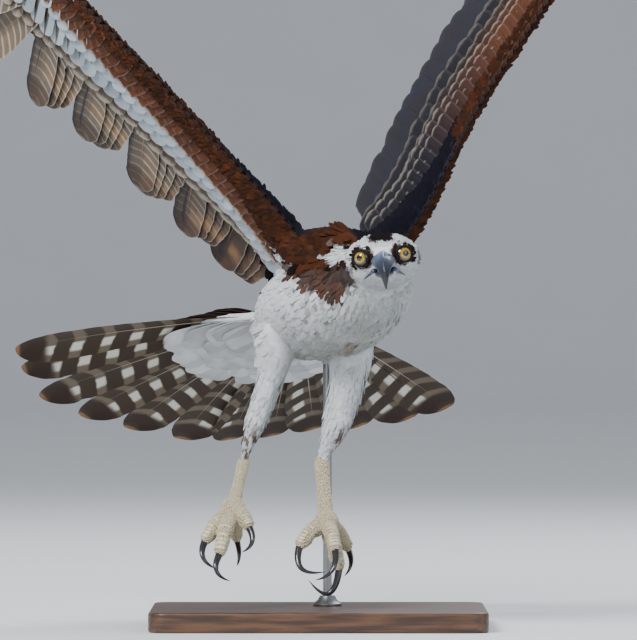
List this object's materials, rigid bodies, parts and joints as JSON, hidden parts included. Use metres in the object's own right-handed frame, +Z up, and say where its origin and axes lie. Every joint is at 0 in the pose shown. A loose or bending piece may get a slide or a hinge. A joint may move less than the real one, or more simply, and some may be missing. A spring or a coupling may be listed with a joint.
{
  "type": "osprey model",
  "caption": "Still life-size osprey in slow flight, wings raised, tail fanned and feet let down, held by a plain stand with a flat base and a rod.",
  "frame": {"origin": "middle of the stand's underside", "axes": "+Z up, -Y where the bird looks, +X to the bird's left"},
  "size_m": [0.9432, 0.5192, 0.9649],
  "materials": {
    "body_plumage": "soft white feathers with an olive-grey shade",
    "head_plumage": "short white feathers with a dark brown crown patch and eye stripe",
    "wing_plumage": "chestnut and blackish brown feathers with pale edges, barred grey and white below",
    "tail_plumage": "grey-brown feathers with dark bars and near-white windows",
    "eye": "wet yellow iris with a round black pupil",
    "bill": "blue-grey horn with a paler cere and a black tip",
    "leg_skin": "cream skin with fine scales and pale banded plates",
    "claw": "polished near-black horn",
    "stand_wood": "dark stained wood, satin",
    "stand_steel": "brushed steel"
  },
  "bodies": {
    "root": {"torso": "body_plumage", "neck": "body_plumage", "head": "head_plumage", "eye_left": "eye", "eye_right": "eye", "bill_upper": "bill", "bill_lower": "bill", "thigh_right": "body_plumage", "tarsus_right": "leg_skin", "foot_right": "leg_skin", "wing_right": "wing_plumage", "thigh_left": "body_plumage", "tarsus_left": "leg_skin", "foot_left": "leg_skin", "wing_left": "wing_plumage", "tail": "tail_plumage", "claw_right_1": "claw", "claw_right_2": "claw", "claw_right_3": "claw", "claw_right_4": "claw", "claw_left_1": "claw", "claw_left_2": "claw", "claw_left_3": "claw", "claw_left_4": "claw", "stand_base": "stand_wood", "stand_collar": "stand_steel", "stand_rod": "stand_steel"}
  },
  "joints": []
}
